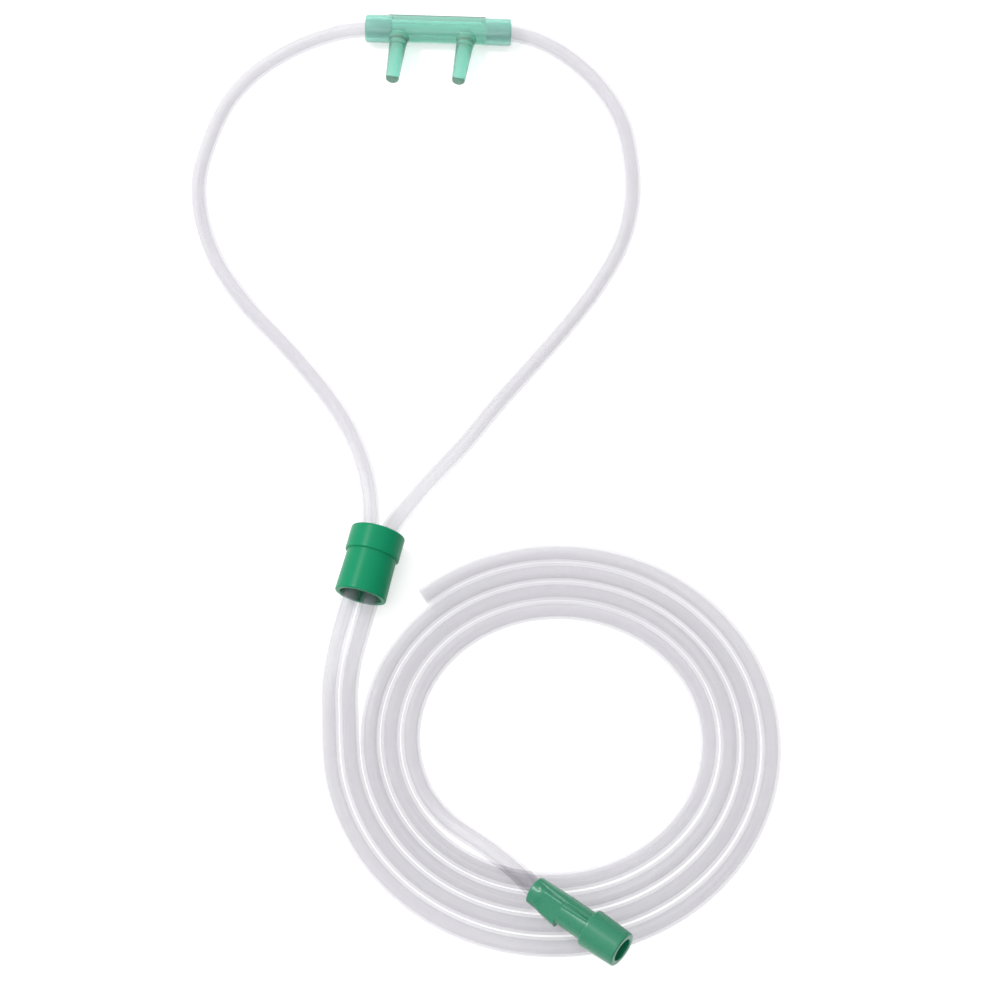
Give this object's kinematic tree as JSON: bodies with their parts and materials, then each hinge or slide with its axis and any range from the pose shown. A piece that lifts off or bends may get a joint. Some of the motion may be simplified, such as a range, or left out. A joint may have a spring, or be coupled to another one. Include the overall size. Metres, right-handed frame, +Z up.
{
  "type": "nasal oxygen cannula",
  "caption": "Soft nasal prongs on a head loop of clear tubing with a sliding ring, a coiled supply tube and an oxygen connector, laid flat.",
  "frame": {"origin": "on the floor, under the middle of the box round the nosepiece, slider and connector", "axes": "+Z up off the floor, +Y from the coil towards the nosepiece, +X to the right in the picture"},
  "size_m": [0.1732, 0.2942, 0.0217],
  "materials": {
    "nosepiece_pvc": "soft translucent green vinyl, satin",
    "tubing_pvc": "clear, faintly milky soft vinyl tube",
    "slider_plastic": "opaque deep green moulding, semi-gloss",
    "connector_plastic": "opaque mid green moulding, semi-gloss"
  },
  "bodies": {
    "tubing": {"nosepiece": "nosepiece_pvc", "left_tube": "tubing_pvc", "right_tube": "tubing_pvc", "coil": "tubing_pvc", "connector_lead": "tubing_pvc", "connector": "connector_plastic"},
    "slider": {"slider": "slider_plastic"}
  },
  "joints": [
    {"name": "slider_slide", "type": "slide", "parent": "tubing", "child": "slider", "axis": [-0.247, -0.969, 0], "range_m": [0, 0.008]}
  ]
}
